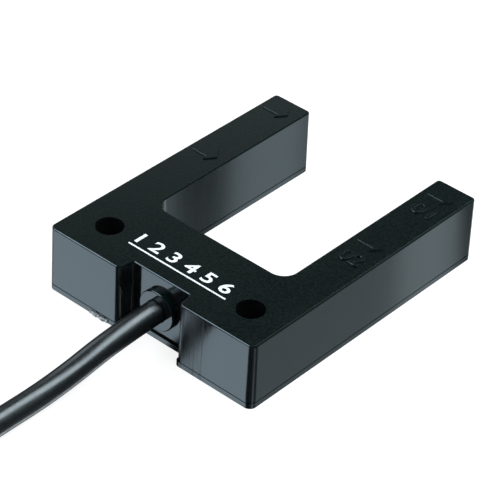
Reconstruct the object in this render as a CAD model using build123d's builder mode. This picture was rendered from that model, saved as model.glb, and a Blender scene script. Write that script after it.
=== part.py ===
from build123d import *
import math
import os

# Fork-shaped through-beam photoelectric sensor with a fixed cable.
# Millimetres, +Z up. The origin lies on the underside, midway between the two mounting holes.
# +Y runs along the arms to their tips, and the cable leaves towards -Y.
# A drafted housing, open below, carries the circuit board; a welded cover closes it.

os.makedirs("parts", exist_ok=True)

# Housing
slot_width = 25.0
slot_depth = 34.6
arm_width = 7.0
bridge_depth = 14.4
case_height = 10.9
draft_angle = 0.7
wall = 1.0
roof = 1.1
cover_thickness = 0.85
front_corner_radius = 1.0
tip_corner_radius = 0.6
slot_corner_radius = 2.5
least_corner_radius = 0.3
top_edge_radius = 0.25
seam_height = 0.15
seam_depth = 0.15

# Mounting holes, for M4 screws
hole_spacing = 27.0
hole_diameter = 4.3
hole_setback = 6.1
boss_wall = 1.0
boss_seat_depth = 0.25
boss_clearance = 0.1

# Cable notch, in the cable end; the cover stands out into it by its ledges
notch_depth = 2.6
notch_back_width = 10.9
notch_mouth_width = 11.6
notch_mouth_radius = 0.8
notch_back_radius = 0.4
cover_back_ledge = 0.35
cover_side_ledge = 0.2
cover_notch_radius = 0.6

# Cable entry
cable_diameter = 3.6
cable_height = 5.45
hub_diameter = 6.5
hub_length = 0.95
hub_edge_radius = 0.2
hub_clearance = 0.05
sleeve_length = 2.3
seal_diameter = 5.3
seal_length = 1.8
tie_width = 2.0
tie_thickness = 0.8
tie_gap = 0.2
tie_head_width = 2.6
tie_head_height = 2.8
tie_stub_length = 1.2
tie_stub_thickness = 0.6
jacket_length_inside = 4.7

# Circuit board
board_thickness = 0.8
board_rise = 0.65
board_clearance = 0.25
board_corner_radius = 0.8
tongue_width = 19.6
tongue_setback = 5.2
boss_gap = 0.35
rim_thickness = 0.8
rim_clearance = 0.1
post_diameter = 1.6
post_spacing = 17.0
rib_thickness = 0.9
rib_reach = 0.6
first_rib_setback = 3.2
rib_spacing = 6.0
bridge_rib_spacing = 12.0

# Beams
beam_setback = 3.4
beam_spacing = 16.0
beam_height = 5.4
window_diameter = 3.4
window_thickness = 0.5

# Light elements, standing on their leads
element_width = 3.6
element_depth = 1.6
element_height = 4.6
element_standoff = 0.4
element_chamfer = 0.35
emitter_lens_radius = 1.1
receiver_lens_radius = 1.4
emitter_lens_length = 0.85
receiver_lens_length = 0.45
lens_fullness = 0.95
lead_pitch = 2.54
lead_size = 0.45
lead_tail = 0.45
hole_slack = 0.3

# Element holders
holder_clearance = 0.2
holder_face = 0.5
holder_end = 0.4
holder_heel = 1.0
holder_web = 1.6
holder_roof = 0.8
holder_corner_radius = 0.4
pocket_clearance = 0.1
aperture_diameter = 1.6
slit_width = 0.8
slit_height = 2.6
peg_diameter = 0.9
peg_tail = 0.3

# Surface-mounted parts: bodies are width across the leads, length and height
body_standoff = 0.1
body_chamfer = 0.15
bent_sheet = 0.18
lead_shoulder = 0.18
lead_knee = 0.3
chip_body = (3.9, 4.9, 1.5)
chip_pitch = 1.27
chip_leads_per_side = 4
chip_lead_width = 0.42
chip_lead_reach = 1.05
chip_place = (-6.9, 3.2)
transistor_body = (1.3, 2.9, 1.0)
transistor_pitch = 1.9
transistor_places = [(5.4, 1.1), (8.2, 1.1)]
regulator_body = (2.5, 4.5, 1.5)
regulator_pitch = 1.5
regulator_place = (7.0, 5.1)
diode_body = (2.7, 1.6, 1.1)
diode_x = 12.4
small_lead_width = 0.45
small_lead_reach = 0.55
capacitor_body = (2.0, 1.25, 0.85)
capacitor_setback = 2.4
capacitor_spacing = 2.2
capacitors_per_arm = 2
resistor_body = (1.6, 0.8, 0.45)
resistor_setback = 2.1
resistor_spacing = 2.0
resistors_per_arm = 3
cap_length = 0.35
cap_thickness = 0.02

# Cable cores, from the jacket's inner end down to the board; they lie in a square in the jacket
core_colours = ("brown", "blue", "black", "white")
core_corners = ((-1, 1), (-1, -1), (1, -1), (1, 1))
core_diameter = 0.9
core_offset = 0.6
core_pitch = 2.2
core_straight = 0.9
core_setback = 3.4
core_bend = 0.9
wire_diameter = 0.5
wire_bare = 0.4

# Cable outside: route of its middle to the coil, and from the coil to its stripped end
arc_share = 0.45
cable_route = [
    (0.0, 1.2, 5.45),
    (0.0, -11.0, 5.45),
    (-1.45, -22.7, 1.8),
    (-1.6, -34.7, 1.8),
    (-1.45, -46.4, 1.8),
]
tail_route = [
    (-48.3, -46.6, 5.4),
    (-48.5, -39.4, 5.1),
    (-48.0, -30.7, 1.8),
    (-48.0, -22.5, 1.8),
]

# Coil of the spare cable, lying beside the sensor, and its strap
coil_centre = (-24.9, -53.0)
coil_turn_radius = 19.8
coil_columns = 3
coil_layers = 3
coil_edge_radius = 1.6
strap_thickness = 0.8
strap_width = 3.0
strap_angle = 235.0
strap_corner_radius = 1.0
strap_head_depth = 2.4
strap_head_height = 4.5
strap_stub_length = 2.0

# Stripped cores at the free end, and how far apart they lie where they come down and at their ends
lead_length = 18.0
lead_straight = 1.6
lead_drop = 7.0
lead_fan = 1.5
lead_spread = 2.0
lead_bend = 3.0
tin_length = 5.0
tin_diameter = 0.6

# Places that follow from the sizes
case_width = slot_width + 2 * arm_width
front_y = -hole_setback
slot_y = front_y + bridge_depth
tip_y = slot_y + slot_depth
arm_x = (slot_width + arm_width) / 2
ceiling_z = case_height - roof
seam_z = cover_thickness + seam_height
draft_slope = math.tan(math.radians(draft_angle))
hole_places = [(-hole_spacing / 2, 0), (hole_spacing / 2, 0)]
boss_radius = hole_diameter / 2 + boss_wall
case_notch = (notch_depth, notch_back_width, notch_mouth_width, notch_mouth_radius, notch_back_radius)
cover_notch = (
    notch_depth - cover_back_ledge,
    notch_back_width - 2 * cover_side_ledge,
    notch_mouth_width - 2 * cover_side_ledge,
    cover_notch_radius,
    cover_notch_radius,
)
notch_wall_y = front_y + notch_depth
hub_y = notch_wall_y - hub_length
sleeve_y = notch_wall_y + sleeve_length
board_z = cover_thickness + board_rise
board_top_z = board_z + board_thickness
tongue_y = front_y + tongue_setback
strip_y = boss_radius + boss_gap
beam_rows = (tip_y - beam_setback - beam_spacing, tip_y - beam_setback)
jacket_end_y = notch_wall_y + jacket_length_inside
element_z = board_top_z + element_standoff
element_top_z = element_z + element_height
holder_top_z = element_top_z + pocket_clearance + holder_roof
pocket_width = element_width + 2 * pocket_clearance
holder_width = arm_width - 2 * wall - 2 * holder_clearance
peg_rows = (
    beam_rows[0] + pocket_width / 2 + holder_web / 2,
    beam_rows[1] - pocket_width / 2 - holder_web / 2,
)
arm_rib_rows = (slot_y + first_rib_setback, slot_y + first_rib_setback + rib_spacing)


def spread(count, pitch):
    """As many places as count, a pitch apart, with their middle at nought."""
    return [(index - (count - 1) / 2) * pitch for index in range(count)]


pad_row = jacket_end_y + core_setback
pad_columns = spread(len(core_colours), core_pitch)


def round_pair(sketch, x, y, radius):
    """Round the two corners of a sketch that lie at (x, y) and (-x, y)."""
    fillet([sketch.vertices().sort_by_distance((side * x, y))[0] for side in (-1, 1)], radius)


def fork_face(z, depth, notch):
    """The U-shaped outline at height z, set in by depth from the drafted outside of the case."""
    inset = depth - (case_height - z) * draft_slope
    depth_in, back_width, mouth_width, mouth_radius, back_radius = notch
    half, slot_half = case_width / 2 - inset, slot_width / 2 + inset
    mouth_half, back_half = mouth_width / 2 + inset, back_width / 2 + inset
    front, back = front_y + inset, front_y + depth_in + inset
    slot, tip = slot_y - inset, tip_y - inset
    with BuildSketch(Plane.XY.offset(z)) as fork:
        with BuildLine():
            right = [(back_half, back), (mouth_half, front), (half, front), (half, tip)]
            right += [(slot_half, tip), (slot_half, slot)]
            left = [(-x, y) for x, y in reversed(right)]
            Polyline(*right, *left, close=True)
        make_face()
        for x, y, radius in (
            (half, front, front_corner_radius),
            (half, tip, tip_corner_radius),
            (slot_half, tip, tip_corner_radius),
            (mouth_half, front, mouth_radius),
        ):
            round_pair(fork, x, y, max(radius - inset, least_corner_radius))
        round_pair(fork, slot_half, slot, slot_corner_radius + inset)
        round_pair(fork, back_half, back, back_radius + inset)
    return fork.sketch


def entry_plane(y):
    """A plane across the cable's axis at the given y, facing the arms."""
    return Plane(origin=(0, y, cable_height), x_dir=(1, 0, 0), z_dir=(0, 1, 0))


def arm_plane(side, x):
    """A plane across the beams at x on one arm, facing outwards, with its origin at their height."""
    return Plane(origin=(side * x, 0, beam_height), x_dir=(0, 1, 0), z_dir=(side, 0, 0))


def keep(piece, name):
    """Name a finished piece and write it."""
    piece.part.label = name
    export_step(piece.part, f"parts/{name}.step")


# Moulded housing: a drafted shell with mounting bosses, cable hub, ribs and beam windows
with BuildPart() as upper_case:
    extrude(fork_face(case_height, 0, case_notch), amount=seam_z - case_height, taper=-draft_angle)
    fillet(upper_case.edges().group_by(Axis.Z)[-1], top_edge_radius)
    extrude(fork_face(seam_z, seam_depth, case_notch), amount=-seam_height)
    extrude(
        fork_face(ceiling_z, wall, case_notch),
        amount=cover_thickness - ceiling_z,
        taper=-draft_angle,
        mode=Mode.SUBTRACT,
    )
    with BuildSketch(Plane.XY.offset(cover_thickness - boss_seat_depth)):
        with Locations(*hole_places):
            Circle(boss_radius)
    extrude(amount=ceiling_z - cover_thickness + boss_seat_depth)
    with BuildSketch(Plane.XY.offset(board_top_z)):
        for x in (slot_width / 2 + wall, case_width / 2 - wall):
            with Locations(*[(side * x, y) for side in (-1, 1) for y in arm_rib_rows]):
                Rectangle(2 * rib_reach, rib_thickness)
        with Locations((0, slot_y - wall)):
            with GridLocations(bridge_rib_spacing, 0, 2, 1):
                Rectangle(rib_thickness, 2 * rib_reach)
    extrude(amount=ceiling_z - board_top_z)
    with BuildSketch(Plane.XY.offset(holder_top_z)):
        with Locations(*[(side * arm_x, y) for side in (-1, 1) for y in beam_rows]):
            Rectangle(arm_width - wall, rib_thickness)
    extrude(amount=ceiling_z - holder_top_z)
    with BuildSketch(entry_plane(hub_y)):
        Circle(hub_diameter / 2)
    extrude(amount=sleeve_y - hub_y)
    hub_rim = upper_case.edges().filter_by(GeomType.CIRCLE).filter_by_position(Axis.Y, hub_y, hub_y)
    fillet(hub_rim, hub_edge_radius)
    with BuildSketch(entry_plane(hub_y)):
        Circle(cable_diameter / 2 + hub_clearance)
    extrude(amount=sleeve_y - hub_y, mode=Mode.SUBTRACT)
    with BuildSketch(entry_plane(sleeve_y - seal_length)):
        Circle(seal_diameter / 2)
    extrude(amount=seal_length, mode=Mode.SUBTRACT)
    for side in (-1, 1):
        with BuildSketch(arm_plane(side, slot_width / 2 + window_thickness)):
            with Locations(*[(y, 0) for y in beam_rows]):
                Circle(window_diameter / 2)
        extrude(amount=wall - window_thickness, mode=Mode.SUBTRACT)
    with Locations(*hole_places):
        Hole(hole_diameter / 2)
keep(upper_case, "upper_case")

# Bottom cover: a flush plate with a locating rim, boss seats and two board posts
with BuildPart() as bottom_cover:
    extrude(fork_face(cover_thickness, 0, cover_notch), amount=-cover_thickness)
    extrude(fork_face(cover_thickness, wall + rim_clearance, case_notch), amount=board_rise)
    extrude(
        fork_face(cover_thickness, wall + rim_clearance + rim_thickness, case_notch),
        amount=board_rise,
        mode=Mode.SUBTRACT,
    )
    with BuildSketch(Plane.XY.offset(cover_thickness)):
        with GridLocations(post_spacing, 0, 2, 1):
            Circle(post_diameter / 2)
    extrude(amount=board_rise)
    with BuildSketch(Plane.XY.offset(cover_thickness)):
        with Locations(*hole_places):
            Circle(boss_radius + boss_clearance)
    extrude(amount=-boss_seat_depth, mode=Mode.SUBTRACT)
    with Locations(*hole_places):
        Hole(hole_diameter / 2)
keep(bottom_cover, "bottom_cover")

# Circuit board: the same U, with a tongue between the screw bosses under the cable
lead_hole = lead_size * math.sqrt(2) + hole_slack

with BuildPart() as circuit_board:
    extrude(fork_face(board_z, wall + board_clearance, case_notch), amount=board_thickness)
    with BuildSketch(Plane.XY.offset(board_z)) as front_cut:
        with Locations((0, strip_y)):
            Rectangle(case_width, 2 * hole_setback + strip_y, align=(Align.CENTER, Align.MAX))
            Rectangle(
                tongue_width,
                strip_y - tongue_y,
                align=(Align.CENTER, Align.MAX),
                mode=Mode.SUBTRACT,
            )
        round_pair(front_cut, tongue_width / 2, strip_y, board_corner_radius)
    extrude(amount=board_thickness, mode=Mode.SUBTRACT)
    with BuildSketch(Plane.XY.offset(board_z)):
        for row in beam_rows:
            with Locations((-arm_x, row), (arm_x, row)):
                with GridLocations(0, lead_pitch, 1, 2):
                    Circle(lead_hole / 2)
        with Locations(*[(side * arm_x, row) for side in (-1, 1) for row in peg_rows]):
            Circle((peg_diameter + hole_slack) / 2)
        with Locations(*[(x, pad_row) for x in pad_columns]):
            Circle((wire_diameter + hole_slack) / 2)
    extrude(amount=board_thickness, mode=Mode.SUBTRACT)
keep(circuit_board, "circuit_board")

# Light elements: a side-looking body with a domed lens, on two leads through the board
for side, kind, lens_radius, lens_length in (
    (-1, "emitter", emitter_lens_radius, emitter_lens_length),
    (1, "receiver", receiver_lens_radius, receiver_lens_length),
):
    for number, row in enumerate(beam_rows, 1):
        with BuildPart() as element:
            with BuildSketch(Plane.XY.offset(element_z)):
                with Locations((side * arm_x, row)):
                    Rectangle(element_depth, element_width)
            extrude(amount=element_height)
            chamfer(element.edges().group_by(Axis.Z)[-1], element_chamfer)
            with BuildSketch(arm_plane(side, arm_x - element_depth / 2)):
                with Locations((row, 0)):
                    Circle(lens_radius)
            extrude(amount=-lens_length)
            rims = element.edges().filter_by(GeomType.CIRCLE)
            fillet(rims.sort_by_distance((0, row, beam_height))[0], lens_fullness * lens_length)
            with BuildSketch(Plane.XY.offset(element_z)):
                with Locations((side * arm_x, row)):
                    with GridLocations(0, lead_pitch, 1, 2):
                        Rectangle(lead_size, lead_size)
            extrude(amount=board_z - lead_tail - element_z)
        keep(element, f"{kind}_{number}")

# Holders: a moulded block over the two elements of an arm, pegged into the board
heel_y = beam_rows[0] - pocket_width / 2 - holder_heel
toe_y = beam_rows[1] + pocket_width / 2 + holder_end
pocket_front = arm_x - holder_width / 2 + holder_face
pocket_back = arm_x + element_depth / 2 + pocket_clearance
pocket_x, pocket_depth = (pocket_front + pocket_back) / 2, pocket_back - pocket_front
core_out_length = beam_spacing - pocket_width - 2 * holder_web

for side, kind in ((-1, "emitter"), (1, "receiver")):
    with BuildPart() as holder:
        with BuildSketch(Plane.XY.offset(board_top_z)) as block:
            with Locations((side * arm_x, (heel_y + toe_y) / 2)):
                Rectangle(holder_width, toe_y - heel_y)
            fillet(block.vertices(), holder_corner_radius)
        extrude(amount=holder_top_z - board_top_z)
        with BuildSketch(Plane.XY.offset(board_top_z)):
            with Locations(*[(side * pocket_x, row) for row in beam_rows]):
                Rectangle(pocket_depth, pocket_width)
            with Locations((side * pocket_x, sum(beam_rows) / 2)):
                Rectangle(pocket_depth, core_out_length)
        extrude(amount=element_top_z + pocket_clearance - board_top_z, mode=Mode.SUBTRACT)
        with BuildSketch(arm_plane(side, pocket_front)):
            with Locations(*[(row, 0) for row in beam_rows]):
                if kind == "emitter":
                    Circle(aperture_diameter / 2)
                else:
                    Rectangle(slit_width, slit_height)
        extrude(amount=-holder_face, mode=Mode.SUBTRACT)
        with BuildSketch(Plane.XY.offset(board_top_z)):
            with Locations(*[(side * arm_x, row) for row in peg_rows]):
                Circle(peg_diameter / 2)
        extrude(amount=-board_thickness - peg_tail)
    keep(holder, f"{kind}_holder")


def package(body, near, far, lead_width, reach):
    """A moulded package at the origin, on bent leads at the places near (-X side) and far (+X side)."""
    width, length, height = body
    foot, shoulder = bent_sheet / 2, height / 2
    with BuildPart() as made:
        with BuildSketch(Plane.XY.offset(body_standoff)):
            Rectangle(width, length)
        extrude(amount=height - body_standoff)
        chamfer(made.edges().group_by(Axis.Z)[-1], body_chamfer)
        for side, places in ((-1, near), (1, far)):
            for place in places:
                with BuildSketch(Plane.XZ.offset(-place)):
                    with BuildLine():
                        Polyline(
                            (side * (width / 2 - bent_sheet), shoulder),
                            (side * (width / 2 + lead_shoulder), shoulder),
                            (side * (width / 2 + lead_knee), foot),
                            (side * (width / 2 + reach), foot),
                        )
                    trace(line_width=bent_sheet)
                extrude(amount=lead_width / 2, both=True)
    return made.part


def chip_component(body):
    """A chip resistor or capacitor lying along X at the origin, with a metal cap on each end."""
    length, width, height = body
    low = (Align.CENTER, Align.CENTER, Align.MIN)
    with BuildPart() as made:
        Box(length - 2 * cap_thickness, width - 2 * cap_thickness, height - cap_thickness, align=low)
        with Locations(((length - cap_length) / 2, 0, 0), ((cap_length - length) / 2, 0, 0)):
            Box(cap_length, width, height, align=low)
    return made.part


# Signal chip with four leads on each side
chip_rows = spread(chip_leads_per_side, chip_pitch)
with BuildPart() as control_chip:
    with Locations(Location((*chip_place, board_top_z), (0, 0, 90))):
        add(package(chip_body, chip_rows, chip_rows, chip_lead_width, chip_lead_reach))
keep(control_chip, "control_chip")

# Output transistors, one for each beam
with BuildPart() as output_transistors:
    with Locations(*[(x, y, board_top_z) for x, y in transistor_places]):
        add(package(transistor_body, spread(2, transistor_pitch), [0], small_lead_width, small_lead_reach))
keep(output_transistors, "output_transistors")

# Voltage regulator
with BuildPart() as regulator:
    with Locations(Location((*regulator_place, board_top_z), (0, 0, 90))):
        add(package(regulator_body, spread(3, regulator_pitch), [0], small_lead_width, small_lead_reach))
keep(regulator, "regulator")

# Protection diodes, behind the screw bosses
diode_y = (strip_y + slot_y - wall - board_clearance) / 2
with BuildPart() as protection_diodes:
    with Locations((-diode_x, diode_y, board_top_z), (diode_x, diode_y, board_top_z)):
        add(package(diode_body, [0], [0], small_lead_width, small_lead_reach))
keep(protection_diodes, "protection_diodes")

# Chip capacitors and resistors, in rows from the holders' heels towards the roots of the arms
capacitor_rows = [
    heel_y - capacitor_setback - index * capacitor_spacing for index in range(capacitors_per_arm)
]
resistor_rows = [
    capacitor_rows[-1] - resistor_setback - index * resistor_spacing for index in range(resistors_per_arm)
]
for name, body, rows in (
    ("capacitors", capacitor_body, capacitor_rows),
    ("resistors", resistor_body, resistor_rows),
):
    with BuildPart() as chips:
        with Locations(*[(side * arm_x, row, board_top_z) for side in (-1, 1) for row in rows]):
            add(chip_component(body))
    keep(chips, name)

# Cable seal, a rubber bush in the socket behind the hub
with BuildPart() as cable_seal:
    with BuildSketch(entry_plane(sleeve_y - seal_length)):
        Circle(seal_diameter / 2)
        Circle(cable_diameter / 2, mode=Mode.SUBTRACT)
    extrude(amount=seal_length)
keep(cable_seal, "cable_seal")

# Nylon tie round the jacket, which stops against the socket when the cable is pulled
with BuildPart() as inner_tie:
    with BuildSketch(entry_plane(sleeve_y + tie_gap)):
        Circle(cable_diameter / 2 + tie_thickness)
        with Locations((cable_diameter / 2 + tie_head_width / 2, 0)):
            Rectangle(tie_head_width, tie_head_height)
        with Locations((cable_diameter / 2 + tie_head_width + tie_stub_length / 2, 0)):
            Rectangle(tie_stub_length, tie_stub_thickness)
        Circle(cable_diameter / 2, mode=Mode.SUBTRACT)
    extrude(amount=tie_width)
keep(inner_tie, "inner_tie")

# Cores inside the case: out of the jacket, apart, and down to the board
for colour, (side, level), pad_x in zip(core_colours, core_corners, pad_columns):
    start_x, start_z = side * core_offset, cable_height + level * core_offset
    with BuildPart() as core:
        with BuildLine() as route:
            FilletPolyline(
                (start_x, jacket_end_y, start_z),
                (start_x, jacket_end_y + core_straight, start_z),
                (pad_x, pad_row, start_z),
                (pad_x, pad_row, board_top_z + wire_bare),
                radius=(core_bend, core_bend),
            )
        with BuildSketch(entry_plane(jacket_end_y)):
            with Locations((start_x, cable_height - start_z)):
                Circle(core_diameter / 2)
        sweep()
        with BuildSketch(Plane.XY.offset(board_top_z + wire_bare)):
            with Locations((pad_x, pad_row)):
                Circle(wire_diameter / 2)
        extrude(amount=-wire_bare - board_thickness - lead_tail)
    keep(core, f"core_{colour}")


def bend_radii(points):
    """The arc at each corner of a cord's route, as large as its shorter run and its turn allow."""
    radii = []
    for before, corner, after in zip(points, points[1:], points[2:]):
        arriving = Vector(corner) - Vector(before)
        leaving = Vector(after) - Vector(corner)
        half_turn = math.radians(arriving.get_angle(leaving)) / 2
        radii.append(arc_share * min(arriving.length, leaving.length) / math.tan(half_turn))
    print("bend radii", [round(radius, 1) for radius in radii])
    return radii


# Strap round the coil's turns, and the coil as one ring that the strap nips
coil_width = coil_columns * cable_diameter
coil_height = coil_layers * cable_diameter
coil_axis = Axis((*coil_centre, 0), (0, 0, 1))
strap_turn = math.radians(strap_angle)
strap_plane = Plane(
    origin=(*coil_centre, 0),
    x_dir=(math.cos(strap_turn), math.sin(strap_turn), 0),
    z_dir=(math.sin(strap_turn), -math.cos(strap_turn), 0),
)
strap_outer_x = coil_turn_radius + coil_width / 2 + strap_thickness

with BuildPart() as coil_tie:
    with BuildSketch(strap_plane) as band:
        with Locations((coil_turn_radius, 0)):
            Rectangle(
                coil_width + 2 * strap_thickness,
                coil_height + strap_thickness,
                align=(Align.CENTER, Align.MIN),
            )
        fillet(band.vertices(), strap_corner_radius + strap_thickness)
        with Locations((strap_outer_x - strap_thickness / 2, coil_height / 2)):
            Rectangle(strap_head_depth, strap_head_height, align=(Align.MIN, Align.CENTER))
        with Locations((strap_outer_x + strap_head_depth / 2, coil_height / 2)):
            Rectangle(strap_thickness, strap_head_height + 2 * strap_stub_length)
        with BuildSketch(mode=Mode.PRIVATE) as opening:
            with Locations((coil_turn_radius, strap_thickness)):
                Rectangle(coil_width, coil_height - strap_thickness, align=(Align.CENTER, Align.MIN))
            fillet(opening.vertices(), strap_corner_radius)
        add(opening.sketch, mode=Mode.SUBTRACT)
    extrude(amount=strap_width / 2, both=True)
keep(coil_tie, "coil_tie")

with BuildPart() as cable_coil:
    with BuildSketch(Plane(origin=(*coil_centre, 0), x_dir=(1, 0, 0), z_dir=(0, -1, 0))) as turns:
        with Locations((coil_turn_radius, 0)):
            Rectangle(coil_width, coil_height, align=(Align.CENTER, Align.MIN))
        fillet(turns.vertices(), coil_edge_radius)
    revolve(axis=coil_axis)
    add(coil_tie.part, mode=Mode.SUBTRACT)
keep(cable_coil, "cable_coil")

# Cable from the board to the coil, and from the coil to its stripped end
for name, points in (("cable", cable_route), ("cable_tail", tail_route)):
    with BuildPart() as cord:
        with BuildLine() as route:
            FilletPolyline(*points, radius=bend_radii(points))
        with BuildSketch(Plane(origin=route.line @ 0, z_dir=route.line % 0)):
            Circle(cable_diameter / 2)
        sweep()
        add(cable_coil.part, mode=Mode.SUBTRACT)
    keep(cord, name)

# Free cores: out of the jacket, down to the surface and apart, each with a tinned tip
end_x, end_y, end_z = tail_route[-1]
for colour, (side, level), place in zip(core_colours, core_corners, spread(len(core_colours), 1)):
    start_x, start_z = end_x + side * core_offset, end_z + level * core_offset
    with BuildPart() as lead:
        with BuildLine() as route:
            FilletPolyline(
                (start_x, end_y, start_z),
                (start_x, end_y + lead_straight, start_z),
                (end_x + place * lead_fan, end_y + lead_drop, core_diameter / 2),
                (end_x + place * lead_spread, end_y + lead_length, core_diameter / 2),
                radius=(lead_bend, lead_bend),
            )
        with BuildSketch(Plane(origin=route.line @ 0, x_dir=(1, 0, 0), z_dir=(0, 1, 0))):
            Circle(core_diameter / 2)
        sweep()
        with BuildSketch(Plane(origin=route.line @ 1, z_dir=route.line % 1)):
            Circle(tin_diameter / 2)
        extrude(amount=tin_length)
    keep(lead, f"lead_{colour}")
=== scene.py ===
# %% [markdown]
# # A fork-shaped light-barrier sensor
# The sensor is a small black U of moulded plastic that straddles a moving web or flag. One arm sends
# two beams of infrared light across the slot, and the other arm receives them. Its solids come from a
# CAD model and stay as they are. This lesson gives them their finishes, adds the moulded and printed
# marks and the cable, and sets up a plain studio round them.

# %% The fixed frame
import math

import bpy
from mathutils import Matrix, Vector


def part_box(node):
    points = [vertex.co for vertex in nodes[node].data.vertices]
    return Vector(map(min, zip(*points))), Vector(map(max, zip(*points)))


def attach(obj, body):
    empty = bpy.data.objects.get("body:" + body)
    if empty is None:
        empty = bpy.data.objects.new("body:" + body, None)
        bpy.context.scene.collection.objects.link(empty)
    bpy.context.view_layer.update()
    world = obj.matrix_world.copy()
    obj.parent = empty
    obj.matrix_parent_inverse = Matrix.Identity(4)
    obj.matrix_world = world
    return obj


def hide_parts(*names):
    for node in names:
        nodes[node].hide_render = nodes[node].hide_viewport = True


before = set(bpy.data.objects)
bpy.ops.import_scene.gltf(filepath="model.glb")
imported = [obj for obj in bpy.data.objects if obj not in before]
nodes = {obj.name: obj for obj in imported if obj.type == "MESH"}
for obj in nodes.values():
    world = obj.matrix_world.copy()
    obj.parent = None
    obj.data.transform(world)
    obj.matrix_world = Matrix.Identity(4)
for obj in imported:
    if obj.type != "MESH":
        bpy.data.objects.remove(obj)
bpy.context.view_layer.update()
MM = 0.001


def in_mm(values):
    """Lengths in metres as rounded millimetres, for printing."""
    return [round(value / MM, 2) for value in values]


# %% [markdown]
# ## Camera
# The camera stands where the photograph was taken, above and in front of the right-hand side. A long
# lens keeps the edges nearly parallel. It is aimed at a point in the slot, near its closed end, and
# rolled a little, because the picture was not quite level.

# %% Camera
camera_place = Vector((180.425, -200.332, 216.169)) * MM
camera_aim = Vector((-0.223, 15.569, 5.45)) * MM
camera_roll = math.radians(3.172)
lens_length = 174.6
sensor_width = 36.0

camera_data = bpy.data.cameras.new("camera")
camera_data.sensor_width = sensor_width
camera_data.lens = lens_length
camera_data.clip_start, camera_data.clip_end = 0.01, 20.0
camera = bpy.data.objects.new("camera", camera_data)
bpy.context.scene.collection.objects.link(camera)
looking = (camera_aim - camera_place).to_track_quat("-Z", "Y").to_matrix()
turned = looking @ Matrix.Rotation(camera_roll, 3, "Z")
camera.matrix_world = Matrix.Translation(camera_place) @ turned.to_4x4()
bpy.context.scene.camera = camera
print("camera distance in mm:", round((camera_aim - camera_place).length / MM, 1))

# %% [markdown]
# ## Materials
# Every finish is a small node tree on the Principled shader. A helper makes the material, adds nodes
# to it and links them in plain calls, so that each finish can be read as a short recipe. The patterns
# use Object coordinates, which are metres in the part's own frame, so a grain of a fifth of a
# millimetre is a noise with a scale of about five thousand.

# %% A helper for node trees


class Finish:
    """A material with a Principled shader, and short calls that add nodes to it."""

    def __init__(self, name, colour, roughness):
        self.material = bpy.data.materials.new(name)
        self.material.use_nodes = True
        self.tree = self.material.node_tree
        self.shader = self.tree.nodes["Principled BSDF"]
        self.set({"Base Color": (*colour, 1.0), "Roughness": roughness})
        self.place = self.add("ShaderNodeTexCoord")

    def add(self, kind, inputs=None, **settings):
        """A new node with its settings and input values; an input may be another node's socket."""
        node = self.tree.nodes.new(kind)
        for key, value in settings.items():
            setattr(node, key, value)
        for key, value in (inputs or {}).items():
            self.give(node.inputs[key], value)
        return node

    def give(self, socket, value):
        """Links a socket to another one, or sets its value."""
        if isinstance(value, bpy.types.NodeSocket):
            self.tree.links.new(value, socket)
        else:
            socket.default_value = value

    def set(self, inputs):
        """Gives the shader's inputs their values or links."""
        for key, value in inputs.items():
            self.give(self.shader.inputs[key], value)

    def along(self, axis, space="Object"):
        """A point's coordinate on an axis or, with the space Normal, how far it faces that way."""
        return self.add("ShaderNodeSeparateXYZ", {"Vector": self.place.outputs[space]}).outputs[axis]

    def noise(self, scale, detail=3.0, stretch=(1.0, 1.0, 1.0)):
        """Noise on Object coordinates, stretched along an axis by a factor under one."""
        mapping = self.add("ShaderNodeMapping", {"Vector": self.place.outputs["Object"], "Scale": stretch})
        return self.add(
            "ShaderNodeTexNoise",
            {"Vector": mapping.outputs["Vector"], "Scale": scale, "Detail": detail},
        ).outputs["Fac"]

    def ramp(self, value, low, high, start=0.0, end=1.0):
        """Maps a value between low and high to start and end, with a soft beginning and end."""
        return self.add(
            "ShaderNodeMapRange",
            {"Value": value, "From Min": low, "From Max": high, "To Min": start, "To Max": end},
            interpolation_type="SMOOTHSTEP",
        ).outputs["Result"]

    def maths(self, operation, first, second=0.0):
        """The result of an operation on one or two numbers."""
        return self.add("ShaderNodeMath", {0: first, 1: second}, operation=operation).outputs[0]

    def between(self, share, first, second):
        """A number between two numbers."""
        return self.add("ShaderNodeMix", {0: share, 2: first, 3: second}).outputs[0]

    def blend(self, share, first, second):
        """A colour between two colours."""
        node = self.add("ShaderNodeMix", data_type="RGBA")
        self.give(node.inputs["Factor"], share)
        self.give(node.inputs["A"], (*first, 1.0) if isinstance(first, tuple) else first)
        self.give(node.inputs["B"], (*second, 1.0) if isinstance(second, tuple) else second)
        return node.outputs["Result"]

    def bump(self, height, distance, strength=1.0):
        """Raises the surface by a pattern; the distance is in metres."""
        node = self.add("ShaderNodeBump", {"Height": height, "Distance": distance, "Strength": strength})
        self.set({"Normal": node.outputs["Normal"]})


def wear(piece, finish):
    """Puts a finish on a piece, in place of what it had."""
    if piece.data.materials:
        piece.data.materials[0] = finish.material
    else:
        piece.data.materials.append(finish.material)


# %% [markdown]
# ## Cable
# The sensor has a fixed round cable with a black jacket. It leaves the hub level, droops to the
# surface in a soft bend, and its spare length lies in a neat coil in front of the sensor, to the left.
# A cable keeps its length and bends only gently, so it is one smooth curve: a quadratic spline with a
# round bevel, which follows a route of control points. The stretches before and after the coil are
# given point by point.

# %% The route from the hub and to the free end
cable_diameter = 3.6 * MM
route_from_hub = [
    (0.0, 1.2, 5.45),
    (-0.145, -11.056, 5.45),
    (-1.451, -22.684, 1.8),
    (-1.53, -34.7, 1.8),
    (-1.48, -46.4, 1.8),
]
route_to_free_end = [
    (-48.3, -46.6, 5.4),
    (-48.5, -39.4, 5.1),
    (-48.0, -30.7, 1.8),
    (-48.0, -22.5, 1.8),
]
print("points placed by hand:", len(route_from_hub) + len(route_to_free_end))

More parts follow.
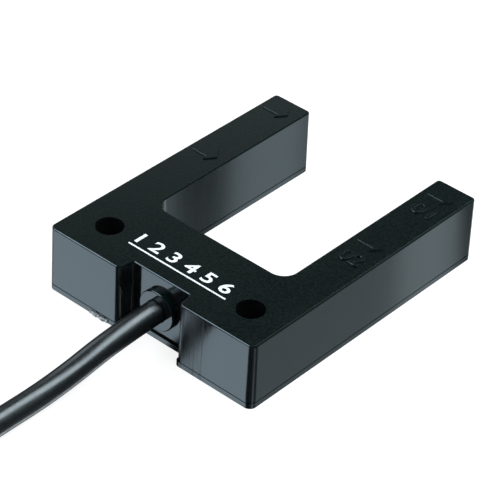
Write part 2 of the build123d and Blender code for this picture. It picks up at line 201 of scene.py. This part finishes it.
# %% [markdown]
# The coil is worked out by a loop. Each run keeps to its place in a bundle three turns wide and three
# high, and then moves over to the next place during a sixth of a turn. A place is given by how many
# degrees the run stays in it, its radius and its height. The control points of a quadratic spline lie
# a little outside the curve, so their radius is divided by the cosine of half a step. Under the strap
# the lower turns are lifted a little, because it runs beneath them.

# %% The coil
coil_centre = Vector((-24.9, -53.0)) * MM
outer, middle, inner = (radius * MM for radius in (23.4, 19.8, 16.2))
low, half_up, high = (height * MM for height in (1.8, 5.4, 9.0))
move_over = 60
coil_places = [
    (300, outer, low),
    (300, middle, low),
    (270, inner, low),
    (300, inner, half_up),
    (270, inner, high),
    (270, middle, high),
    (270, middle, half_up),
    (300, outer, half_up),
]
points_per_turn = 16
strap_angle = 235.0
strap_reach = 22.0
strap_lift = 0.8 * MM


def eased(share):
    """A share from 0 to 1 that starts and ends softly."""
    share = min(max(share, 0.0), 1.0)
    return share * share * (3 - 2 * share)


def coil_place(turned_by):
    """Radius and height of the jacket's middle in the coil, after turning by that many degrees."""
    start = 0
    for here, after in zip(coil_places, coil_places[1:]):
        leaves = start + here[0]
        if turned_by <= leaves + move_over:
            share = eased((turned_by - leaves) / move_over)
            return tuple(a + (b - a) * share for a, b in zip(here[1:], after[1:]))
        start = leaves + move_over
    return coil_places[-1][1:]


def coil_points():
    """Control points of the coil, clockwise from its right-hand side."""
    total = sum(place[0] for place in coil_places) + move_over * (len(coil_places) - 1)
    step = 360 / points_per_turn
    outside = 1 / math.cos(math.radians(step / 2))
    points = []
    for index in range(round(total / step) + 1):
        angle = -index * step
        radius, height = coil_place(index * step)
        from_strap = abs((angle - strap_angle + 180) % 360 - 180)
        lift = strap_lift * eased(1 - from_strap / strap_reach) * (high - height) / (high - low)
        turn = math.radians(angle)
        across = Vector((math.cos(turn), math.sin(turn))) * radius * outside
        points.append((coil_centre.x + across.x, coil_centre.y + across.y, height + lift))
    return points


jacket_points = [Vector(point) * MM for point in route_from_hub]
jacket_points += [Vector(point) for point in coil_points()]
jacket_points += [Vector(point) * MM for point in route_to_free_end]
print("points along the jacket:", len(jacket_points))

# %% [markdown]
# The jacket is soft black vinyl. Its gloss is less sharp than the housing's, and a faint skin of noise
# keeps the highlight from looking drawn. The curve gets its finish as soon as it is made.

# %% The jacket's finish
vinyl = Finish("cable_vinyl", (0.0025, 0.003, 0.0032), 0.3)
skin = vinyl.noise(900.0)
vinyl.set(
    {
        "Roughness": vinyl.ramp(skin, 0.3, 0.7, 0.29, 0.34),
        "Specular IOR Level": 1.0,
        "Specular Tint": (0.84, 0.95, 1.0, 1.0),
    }
)
vinyl.bump(skin, 0.002 * MM, 0.5)
print("nodes in the vinyl:", len(vinyl.tree.nodes))

# %% The jacket
jacket_curve = bpy.data.curves.new("cable_jacket", "CURVE")
jacket_curve.dimensions = "3D"
jacket_curve.bevel_depth = cable_diameter / 2
jacket_curve.bevel_resolution = 8
jacket_curve.use_fill_caps = True
spline = jacket_curve.splines.new("NURBS")
spline.points.add(len(jacket_points) - 1)
for control, point in zip(spline.points, jacket_points):
    control.co = (*point, 1.0)
spline.order_u = 3
spline.use_endpoint_u = True
spline.resolution_u = 8
spline.use_smooth = True
cable_jacket = bpy.data.objects.new("cable_jacket", jacket_curve)
bpy.context.scene.collection.objects.link(cable_jacket)
wear(cable_jacket, vinyl)
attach(cable_jacket, "root")
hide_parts("cable", "cable_coil", "cable_tail")
print("jacket spline in m:", round(spline.calc_length(), 3))

# %% [markdown]
# The cord's four cores are listed by their colours. What is on the cord, the strap round its coil and
# the four stripped leads at its free end, are CAD nodes.

# %% The cord
core_colours = ("brown", "blue", "black", "white")

# %% [markdown]
# ## Housing finish
# The housing is one moulding of black plastic, but the mould had two finishes. The top was eroded to a
# fine matt grain, which scatters light, and the walls were polished, so that they mirror what lies
# round them. One material does both: the surface's own normal tells the top from the walls. The top's
# colour and gloss tint are also made darker than the walls', which is painted shade. The rounded
# edges that face the back and right get the same painted shade and the top's dull grain, so that they
# show as dark lines, while the edges at the front and left keep the walls' polish.

# %% Where the housing is eroded and painted darker
polished_black = (0.004, 0.0045, 0.0048)
polished_gloss = (0.76, 0.92, 1.0)
# The darker black and the dim gloss tint of the eroded places are painted shade: they darken the top and
# the edges that face the back and right.
eroded_shaded_black = (0.0006, 0.0030, 0.0026)
eroded_shaded_gloss = (0.04, 0.08, 0.08)
eroded_shaded_towards = (0.5, 0.5, 1.0)

housing = Finish("moulded_housing", polished_black, 0.1)
faces_eroded_shaded_side = housing.add(
    "ShaderNodeVectorMath",
    {0: housing.place.outputs["Normal"], 1: eroded_shaded_towards},
    operation="DOT_PRODUCT",
).outputs["Value"]
eroded_and_shaded = housing.ramp(faces_eroded_shaded_side, 0.57, 0.75)
flat_top = housing.ramp(housing.along("Z", "Normal"), 0.90, 0.98)
# Colour and gloss tint follow the mask, which puts painted shade on the top and the back and right edges.
housing.set(
    {
        "Base Color": housing.blend(eroded_and_shaded, polished_black, eroded_shaded_black),
        "Specular Tint": housing.blend(eroded_and_shaded, polished_gloss, eroded_shaded_gloss),
        "Specular IOR Level": 1.0,
    }
)
print("black of walls and top:", polished_black, eroded_shaded_black)

# %% [markdown]
# The walls have the faint upright drag marks that a part gets when it slides out of a polished mould:
# a noise that is stretched along Z. Beside the cable notch the right block is scuffed too, which breaks
# the gloss into upright streaks. The flat top is the one place where the grain mirrors a little light,
# in clouds and a fine mottle. The eroded edges round it stay dull.

# %% Gloss and grain of the housing
scuffed_x = 8.5 * MM
scuffed_reach = 4.0 * MM
dull_edge = 0.9
grain_depth = 0.008 * MM
drag_share = 0.12

grain = housing.noise(5200.0, detail=2.0)
drag = housing.noise(1500.0, detail=2.0, stretch=(1.0, 1.0, 0.03))
cloud = housing.noise(90.0, detail=2.0)
mottle = housing.noise(2000.0, detail=4.0)

from_scuffs = housing.maths("ABSOLUTE", housing.maths("SUBTRACT", housing.along("X"), scuffed_x))
near_notch = housing.ramp(from_scuffs, 0.0, scuffed_reach, 1.0, 0.0)
scuffs = housing.maths("MULTIPLY", near_notch, housing.ramp(drag, 0.42, 0.62, 0.20, 0.45))
wall_roughness = housing.maths("ADD", housing.ramp(drag, 0.35, 0.75, 0.06, 0.12), scuffs)
top_roughness = housing.maths(
    "ADD", housing.ramp(cloud, 0.3, 0.7, 0.09, 0.13), housing.ramp(mottle, 0.3, 0.7, 0.12, 0.20)
)
edge_roughness = housing.between(eroded_and_shaded, wall_roughness, dull_edge)
housing.set({"Roughness": housing.between(flat_top, edge_roughness, top_roughness)})

grain_height = housing.maths("MULTIPLY", grain, eroded_and_shaded)
drag_height = housing.maths("MULTIPLY", drag, housing.maths("SUBTRACT", 1.0, eroded_and_shaded))
height = housing.maths("ADD", grain_height, housing.maths("MULTIPLY", drag_height, drag_share))
housing.bump(height, grain_depth)
for name in ("upper_case", "bottom_cover"):
    wear(nodes[name], housing)
print("nodes in the housing's finish:", len(housing.tree.nodes))

# %% [markdown]
# ## Moulded marks
# The mould was engraved, so its marks stand up a little from the top. Each beam has a block arrow on
# both arms, and the right arm numbers the beams. An arrow starts as a flat box, its shaft. The face at
# the box's front is extruded by a hair and widened into the shoulders, and then extruded to the length
# of the head and narrowed to a point. A flat chamfer breaks the edges, and the one along the shaft's
# near side catches the light. The arrow keeps a foot inside the case, so nothing floats. It is modelled
# once, and the other three are copies, each with its own mesh.

# %% Helpers for modelling
case_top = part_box("upper_case")[1][2]


def start_afresh():
    """Nothing is selected, so that the next operator acts on the new piece alone."""
    bpy.ops.object.select_all(action="DESELECT")


def settle(piece):
    """Writes the object's place, turn and size into its mesh."""
    start_afresh()
    piece.select_set(True)
    bpy.context.view_layer.objects.active = piece
    bpy.ops.object.transform_apply(location=True, rotation=True, scale=True)


def box_piece(name, low_corner, high_corner):
    """A box between two corners in millimetres, as a start for a piece."""
    low_corner, high_corner = Vector(low_corner) * MM, Vector(high_corner) * MM
    start_afresh()
    bpy.ops.mesh.primitive_cube_add(size=1.0, location=(low_corner + high_corner) / 2)
    piece = bpy.context.object
    piece.name = name
    piece.scale = high_corner - low_corner
    settle(piece)
    return piece


def chamfer_edges(piece, width):
    """A flat bevel on the sharp edges, applied."""
    bevel = piece.modifiers.new("chamfered edges", "BEVEL")
    bevel.width, bevel.segments = width, 1
    bevel.limit_method = "ANGLE"
    bpy.context.view_layer.objects.active = piece
    bpy.ops.object.modifier_apply(modifier=bevel.name)


print("top of the case in mm:", round(case_top / MM, 2))

# %% Block arrows
mark_rise, mark_foot = 0.18, 0.05
mark_chamfer = 0.11 * MM
shaft_length, shaft_half = 2.9, 0.95
head_length, head_half, tip_half = 1.25, 1.8, 0.06
shoulder = 0.02


def grow_front(middle_y, distance, widen):
    """Extrudes the selected face along X, and widens it about the arrow's middle line."""
    bpy.ops.mesh.extrude_region_move(TRANSFORM_OT_translate={"value": (distance * MM, 0.0, 0.0)})
    bpy.ops.transform.resize(value=(1.0, widen, 1.0), center_override=(0.0, middle_y * MM, case_top))


def block_arrow(name, tail_x, middle_y):
    """A raised block arrow that points along X."""
    top = case_top / MM
    arrow = box_piece(
        name,
        (tail_x, middle_y - shaft_half, top - mark_foot),
        (tail_x + shaft_length, middle_y + shaft_half, top + mark_rise),
    )
    # Only the face at the front is selected, so that it alone is extruded
    for face in arrow.data.polygons:
        face.select = face.normal.x > 0.9
    for edge in arrow.data.edges:
        edge.select = False
    for vertex in arrow.data.vertices:
        vertex.select = vertex.co.x > (tail_x + shaft_length / 2) * MM
    bpy.ops.object.mode_set(mode="EDIT")
    bpy.ops.mesh.select_mode(type="FACE")
    grow_front(middle_y, shoulder, head_half / shaft_half)
    grow_front(middle_y, head_length, tip_half / head_half)
    bpy.ops.object.mode_set(mode="OBJECT")
    chamfer_edges(arrow, mark_chamfer)
    return arrow


def copied(piece, name, across, back):
    """A copy of a piece with its own mesh, moved by millimetres along X and along Y."""
    start_afresh()
    piece.select_set(True)
    bpy.context.view_layer.objects.active = piece
    bpy.ops.object.duplicate()
    copy = bpy.context.object
    copy.name = name
    copy.location = Vector((across, back, 0.0)) * MM
    settle(copy)
    return copy


left_tail, right_tail = -18.4, 13.7
first_row, second_row = 23.5, 39.5
across, back = right_tail - left_tail, second_row - first_row
first_arrow = block_arrow("arrow_left_1", left_tail, first_row)
arrows = [
    first_arrow,
    copied(first_arrow, "arrow_left_2", 0.0, back),
    copied(first_arrow, "arrow_right_1", across, 0.0),
    copied(first_arrow, "arrow_right_2", across, back),
]
for arrow in arrows:
    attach(arrow, "root")
    wear(arrow, housing)
    print(arrow.name, "size in mm:", in_mm(arrow.dimensions))

# %% [markdown]
# ## Numbers
# Numbers are text objects: Blender's own font, made a mesh, measured, and then scaled to the height of
# the real figures. The raised ones are part of the moulding and share its finish, and their strokes
# have chamfered edges, as the arrows have.

# %% Numbers as meshes
# Blender's font has figures about this tall at size one
figure_height = 0.7


def figures(name, words, corner, tall, low, high, wide, bolder=0.0, slope=0.0):
    """Figures in millimetres, from a lower left corner and between two heights over the case's top.

    Their strokes are made bolder on each side, and slope is the width of the chamfer on their edges.
    """
    start_afresh()
    bpy.ops.object.text_add(location=(0.0, 0.0, 0.0))
    piece = bpy.context.object
    piece.name = name
    piece.data.body = words
    piece.data.resolution_u = 5
    unit = tall / figure_height
    piece.data.bevel_depth = slope / unit
    piece.data.extrude = ((high - low) / 2 - slope) / unit
    piece.data.offset = (bolder - slope) / unit
    bpy.ops.object.convert(target="MESH")
    piece = bpy.context.object
    corners = [Vector(point) for point in piece.bound_box]
    least = Vector([min(point[axis] for point in corners) for axis in range(3)])
    most = Vector([max(point[axis] for point in corners) for axis in range(3)])
    size = most - least
    across = wide * MM / size.x
    up = tall * MM / size.y
    thick = (high - low) * MM / size.z
    piece.scale = (across, up, thick)
    place = Vector((corner[0] * MM, corner[1] * MM, case_top + low * MM))
    piece.location = place - Vector((least.x * across, least.y * up, least.z * thick))
    settle(piece)
    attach(piece, "root")
    return piece


number_rise = 0.22
for number, bottom in ((2, 17.5), (1, 33.6)):
    raised = figures(
        f"moulded_number_{number}",
        f"0{number}",
        corner=(14.0, bottom),
        tall=2.8,
        low=-number_rise,
        high=number_rise,
        wide=3.8,
        bolder=0.1,
        slope=0.13,
    )
    wear(raised, housing)
print("raised number in mm:", in_mm(raised.dimensions))

# %% [markdown]
# The printed numbers are a thin film of white ink, with a rule under them, because the pad printer laid
# both down in one go. The film sinks a little into the top, so that no gap shows, and a noise makes its
# cover uneven.

# %% White print
ink = Finish("white_ink", (0.8, 0.82, 0.82), 0.55)
thin_ink, full_ink = (0.62, 0.65, 0.66), (0.82, 0.84, 0.85)
coverage = ink.noise(2600.0, detail=2.0)
ink.set({"Base Color": ink.blend(ink.ramp(coverage, 0.35, 0.6), thin_ink, full_ink)})
ink.bump(coverage, 0.003 * MM, 0.4)

film_low, film_high = -0.03, 0.02
film_chamfer = 0.008 * MM
rule_from, rule_to = (-8.9, -1.0), (9.6, -0.72)
printed = figures(
    "printed_numbers",
    "1 2 3 4 5 6",
    corner=(-8.6, -0.1),
    tall=2.4,
    low=film_low,
    high=film_high,
    wide=17.6,
    bolder=0.05,
)
wear(printed, ink)
rule = box_piece(
    "printed_rule",
    (*rule_from, case_top / MM + film_low),
    (*rule_to, case_top / MM + film_high),
)
chamfer_edges(rule, film_chamfer)
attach(rule, "root")
wear(rule, ink)
print("printed numbers in mm:", in_mm(printed.dimensions))

# %% [markdown]
# ## Weld flash
# The cover is welded on, and at one place under the left block a little molten plastic came out of the
# seam and turned pale. It is a row of small lumps. Each one starts as a flat box, and its faces are
# subdivided with a fractal offset, whose seed gives each lump its own fixed shape. A subdivision
# surface then melts the corners away. A lump is given by its middle along X, its length and its
# thickness.

# %% Lumps along the seam
pale_flash = Finish("pale_flash", (0.45, 0.48, 0.5), 0.45)
burnt, stretched_white = (0.16, 0.18, 0.19), (0.70, 0.73, 0.75)
fleck = pale_flash.noise(2500.0)
pale_flash.set(
    {"Base Color": pale_flash.blend(pale_flash.ramp(fleck, 0.4, 0.6), burnt, stretched_white)}
)
pale_flash.bump(fleck, 0.02 * MM, 0.6)

block_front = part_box("upper_case")[0][1] / MM
seam_height = 0.36
root_depth = 0.25
lumps = [
    (-10.7, 0.75, 0.26),
    (-10.0, 0.60, 0.32),
    (-9.35, 0.60, 0.24),
    (-8.6, 0.80, 0.34),
    (-7.9, 0.55, 0.26),
]
for number, (middle_x, long, thick) in enumerate(lumps, 1):
    lump = box_piece(
        f"weld_flash_{number}",
        (middle_x - long / 2, block_front - thick, seam_height - thick),
        (middle_x + long / 2, block_front + root_depth, seam_height + thick / 2),
    )
    bpy.ops.object.mode_set(mode="EDIT")
    bpy.ops.mesh.select_all(action="SELECT")
    bpy.ops.mesh.subdivide(number_cuts=3, fractal=0.9, seed=number)
    bpy.ops.object.mode_set(mode="OBJECT")
    melted = lump.modifiers.new("melted", "SUBSURF")
    melted.levels = melted.render_levels = 1
    bpy.ops.object.modifier_apply(modifier=melted.name)
    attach(lump, "root")
    wear(lump, pale_flash)
print("lump size in mm:", in_mm(lump.dimensions))

# %% [markdown]
# ## Small parts
# The rest gets plain recipes with a touch of variation, because even sealed parts are looked at when
# the model is opened up. The emitters are of bluish resin, and the receivers are nearly black, because
# such a resin lets only infrared light through.

# %% Finishes of the other parts


def plain(name, colour, roughness, scale=600.0, change=0.15, depth=0.004 * MM):
    """A finish whose colour and roughness vary a little, with a shallow grain."""
    finish = Finish(name, colour, roughness)
    speck = finish.noise(scale)
    darker = tuple(value * (1 - change) for value in colour)
    lighter = tuple(min(value * (1 + change), 1.0) for value in colour)
    finish.colour = finish.blend(speck, darker, lighter)
    finish.dull = finish.ramp(speck, 0.3, 0.7, roughness * 0.9, roughness * 1.1)
    finish.set({"Base Color": finish.colour, "Roughness": finish.dull})
    finish.bump(speck, depth, 0.5)
    return finish


emitter = ("emitter_resin", (0.25, 0.32, 0.55), 0.12)
receiver = ("receiver_resin", (0.012, 0.012, 0.016), 0.12)
holder = ("holder_plastic", (0.02, 0.02, 0.022), 0.45)
plain_finishes = {
    "emitter_1": emitter,
    "emitter_2": emitter,
    "receiver_1": receiver,
    "receiver_2": receiver,
    "emitter_holder": holder,
    "receiver_holder": holder,
    "cable_seal": ("seal_rubber", (0.02, 0.02, 0.02), 0.7),
    "inner_tie": ("nylon_natural", (0.75, 0.74, 0.68), 0.4),
}
for name, (slot_name, colour, roughness) in plain_finishes.items():
    wear(nodes[name], plain(slot_name, colour, roughness))
print("parts with a plain finish:", len(plain_finishes))

# %% [markdown]
# A chip is one solid with its leads, so a mask tells the black resin from the tinned metal: it measures
# how far a place is from the middle of the package, along one axis. Parts that stand in two rows have
# a middle each, at an offset from the middle of the board. What lies further from it than half the
# package is tinned.

# %% Chips with tinned ends
tin, tin_roughness = (0.62, 0.63, 0.62), 0.28


def tinned(finish, share):
    """Turns a finish into bright tinned metal where the share is one."""
    finish.set(
        {
            "Base Color": finish.blend(share, finish.colour, tin),
            "Metallic": share,
            "Roughness": finish.between(share, finish.dull, tin_roughness),
        }
    )


def distance_along(finish, axis, middle, offset=0.0):
    """How far a place is from the middle along an axis, or from two places at an offset from it."""
    away = finish.maths("ABSOLUTE", finish.maths("SUBTRACT", finish.along(axis), middle * MM))
    return finish.maths("ABSOLUTE", finish.maths("SUBTRACT", away, offset * MM))


resin = (0.018, 0.018, 0.019)
# Slot, colour, axis, and the middle, the offset and half the package in millimetres
chips = {
    "control_chip": ("package_resin", resin, "Y", 3.2, 0.0, 1.95),
    "regulator": ("package_resin", resin, "Y", 5.1, 0.0, 1.25),
    "output_transistors": ("package_resin", resin, "X", 0.0, 6.8, 0.65),
    "protection_diodes": ("package_resin", resin, "X", 0.0, 12.4, 1.35),
    "resistors": ("chip_resistor", (0.02, 0.02, 0.022), "X", 0.0, 16.0, 0.45),
    "capacitors": ("chip_capacitor", (0.38, 0.27, 0.17), "X", 0.0, 16.0, 0.65),
}
for name, (slot_name, colour, axis, middle, offset, half) in chips.items():
    finish = plain(f"{name}_finish", colour, 0.5)
    away = distance_along(finish, axis, middle, offset)
    tinned(finish, finish.maths("GREATER_THAN", away, half * MM))
    wear(nodes[name], finish)
    lowest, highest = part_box(name)
    print(name, in_mm((*lowest, *highest)))

# %% [markdown]
# The board is green, and its traces show through the lacquer as the paler joints of a brick pattern.

# %% Circuit board
board = plain("board_finish", (0.012, 0.10, 0.04), 0.35)
traces = board.add(
    "ShaderNodeTexBrick",
    {"Vector": board.place.outputs["Object"], "Scale": 330.0, "Mortar Size": 0.03, "Mortar Smooth": 0.2},
).outputs["Fac"]
board.set({"Base Color": board.blend(traces, board.colour, (0.05, 0.26, 0.10))})
wear(nodes["circuit_board"], board)
print("nodes in the board's finish:", len(board.tree.nodes))

# %% [markdown]
# ## Strap, cores and leads
# The strap round the coil is black nylon with fine slanting ridges, which are a wave in its bump.
# Inside the case the four cores keep their colour down to the board. Outside, the leads' last few
# millimetres are stripped and tinned, so a mask gives them their tin, as it does to the chips.

# %% Strap
strap = plain("strap_nylon", (0.012, 0.012, 0.013), 0.4)
ridges = strap.add(
    "ShaderNodeTexWave",
    {"Vector": strap.place.outputs["Object"], "Scale": 700.0},
    wave_type="BANDS",
    bands_direction="DIAGONAL",
).outputs["Fac"]
strap.bump(ridges, 0.05 * MM, 0.6)
wear(nodes["coil_tie"], strap)
print("nodes in the strap's finish:", len(strap.tree.nodes))

# %% Cores and leads
core_finishes = {
    "brown": (0.10, 0.035, 0.014),
    "blue": (0.02, 0.10, 0.42),
    "black": (0.012, 0.012, 0.013),
    "white": (0.75, 0.75, 0.72),
}
core_roughness = 0.35
stripped_from = -4.5
for colour_name in core_colours:
    colour = core_finishes[colour_name]
    slot_name = f"core_{colour_name}"
    wear(nodes[slot_name], plain(slot_name, colour, core_roughness))
    finish = plain(f"lead_{colour_name}", colour, core_roughness)
    tinned(finish, finish.maths("GREATER_THAN", finish.along("Y"), stripped_from * MM))
    wear(nodes[f"lead_{colour_name}"], finish)
    lowest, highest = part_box(f"lead_{colour_name}")
    print(f"lead_{colour_name} along Y in mm:", in_mm((lowest[1], highest[1])))

# %% [markdown]
# ## Studio
# The part stands on a pale table. The camera sees the table lit nearly to white, with a soft trace of
# the part's shadow. Mirrored rays see another surface there, which Light Path swaps in: darker than
# the table and polished, so that the lamps show in it. The part's walls mirror that and not the pale
# table, which would turn them all one grey. So the front faces show one even grey, the faces to the
# right grow lighter towards the tips, and the corner between them, which mirrors the dark behind the
# camera, is a black band.

# %% Shaders for the table
floor_material = bpy.data.materials.new("table_top")
floor_material.use_nodes = True
tree = floor_material.node_tree
tree.nodes.clear()
rays = tree.nodes.new("ShaderNodeLightPath")
output = tree.nodes.new("ShaderNodeOutputMaterial")


def surface(kind, value, roughness=None):
    """A plain grey shader for the table."""
    shader = tree.nodes.new(kind)
    shader.inputs["Color"].default_value = (value, value, value, 1.0)
    if roughness is not None:
        shader.inputs["Roughness"].default_value = roughness
    return shader.outputs[0]


def together(first, second):
    """Two shaders added up."""
    both = tree.nodes.new("ShaderNodeAddShader")
    tree.links.new(first, both.inputs[0])
    tree.links.new(second, both.inputs[1])
    return both.outputs[0]


def choose(share, first, second):
    """The first shader where the share is zero, and the second where it is one."""
    mixed = tree.nodes.new("ShaderNodeMixShader")
    tree.links.new(share, mixed.inputs[0])
    tree.links.new(first, mixed.inputs[1])
    tree.links.new(second, mixed.inputs[2])
    return mixed.outputs[0]


mirrored = tree.nodes.new("ShaderNodeMath")
mirrored.operation = "MAXIMUM"
tree.links.new(rays.outputs["Is Glossy Ray"], mirrored.inputs[0])
tree.links.new(rays.outputs["Is Transmission Ray"], mirrored.inputs[1])
lit_paper = surface("ShaderNodeBsdfDiffuse", 0.8)
polish = surface("ShaderNodeBsdfGlossy", 0.45, 0.2)
pale_view = together(surface("ShaderNodeBsdfDiffuse", 0.25), surface("ShaderNodeEmission", 0.85))
seen = choose(mirrored.outputs[0], lit_paper, polish)
seen = choose(rays.outputs["Is Camera Ray"], seen, pale_view)
tree.links.new(seen, output.inputs["Surface"])
print("nodes in the table's material:", len(tree.nodes))

# %% Table
table_side = 8.0
start_afresh()
bpy.ops.mesh.primitive_plane_add(size=table_side, location=(0.0, 0.0, 0.0))
floor = bpy.context.object
floor.name = "floor"
floor.data.materials.append(floor_material)
print("table side in m:", table_side)

# %% [markdown]
# ## Lamps
# Soft lamps are cards that glow. A card's radiance is what a mirror shows of it, so each one is given
# by its radiance, and its power follows from its area. The long card overhead draws the highlight
# along the cable, and the one at the front left fills the front faces. Two dim cards at the left and
# the back left lift that side of the matt top, and the one behind lights the faces that the camera
# doesn't see.

# %% Large lamps


def lamp(name, place, aim, size, radiance, colour=(0.92, 0.97, 1.0)):
    """A rectangular soft lamp, placed in millimetres and aimed at a point, out of the camera's sight."""
    light = bpy.data.lights.new(name, "AREA")
    light.shape = "RECTANGLE"
    light.size, light.size_y = size[0] * MM, size[1] * MM
    light.energy = radiance * math.pi * light.size * light.size_y
    light.color = colour
    lamp_object = bpy.data.objects.new(name, light)
    bpy.context.scene.collection.objects.link(lamp_object)
    lamp_object.location = Vector(place) * MM
    direction = (Vector(aim) - Vector(place)).to_track_quat("-Z", "Y")
    lamp_object.rotation_euler = direction.to_euler()
    lamp_object.visible_camera = False
    print(name, "power in W:", round(light.energy, 3))


front_blue = (0.82, 0.92, 1.0)
lamp("cable_lamp", (130.0, 104.0, 400.0), (0.0, -20.0, 0.0), (710.0, 220.0), radiance=6.2)
lamp("front_lamp", (-260.0, -300.0, 280.0), (0.0, 10.0, 0.0), (340.0, 340.0), 3.8, front_blue)
lamp("left_lamp", (-410.0, 30.0, 280.0), (0.0, 10.0, 0.0), (300.0, 300.0), radiance=1.4)
lamp("rear_lamp", (60.0, 430.0, 200.0), (0.0, 20.0, 0.0), (260.0, 160.0), radiance=1.8)
lamp("back_lamp", (-200.0, 200.0, 130.0), (0.0, 20.0, 10.0), (130.0, 110.0), radiance=0.7)

# %% [markdown]
# A row of narrow cards at the back right gives the side faces their steps of grey. The row stands
# across the line of sight that the right-hand walls mirror, and each card is given by where it starts
# and ends along the row, and its radiance. The world behind everything is nearly black, so that the
# parts of the walls that mirror no card stay dark.

# %% Side cards and world
side_sight = Vector((0.513, 0.614, 0.599))
side_across = Vector((-0.767, 0.641, 0.0))
side_drop = Vector((5.4, 6.4, -11.2))
side_distance = 75.0
side_height = 56.0
side_colour = (0.84, 0.97, 1.0)
side_cards = (
    (-34.0, 4.0, 0.85),
    (4.0, 13.5, 2.0),
    (13.5, 24.0, 0.12),
    (24.0, 38.0, 2.1),
)
for number, (start, end, radiance) in enumerate(side_cards, 1):
    aim = side_across * (start + end) / 2 + side_drop
    place = aim + side_sight * side_distance
    lamp(f"side_card_{number}", place, aim, (end - start, side_height), radiance, side_colour)

world = bpy.data.worlds.new("studio")
bpy.context.scene.world = world
world.use_nodes = True
world.node_tree.nodes["Background"].inputs["Color"].default_value = (0.045, 0.052, 0.054, 1.0)

bpy.context.scene.view_settings.view_transform = "Standard"

# %% [markdown]
# ## Last update
# The view layer is updated, so that the places and sizes of the finished pieces are current.
# The model's box with the finished pieces must stay inside the CAD box.

# %% Last update
bpy.context.view_layer.update()
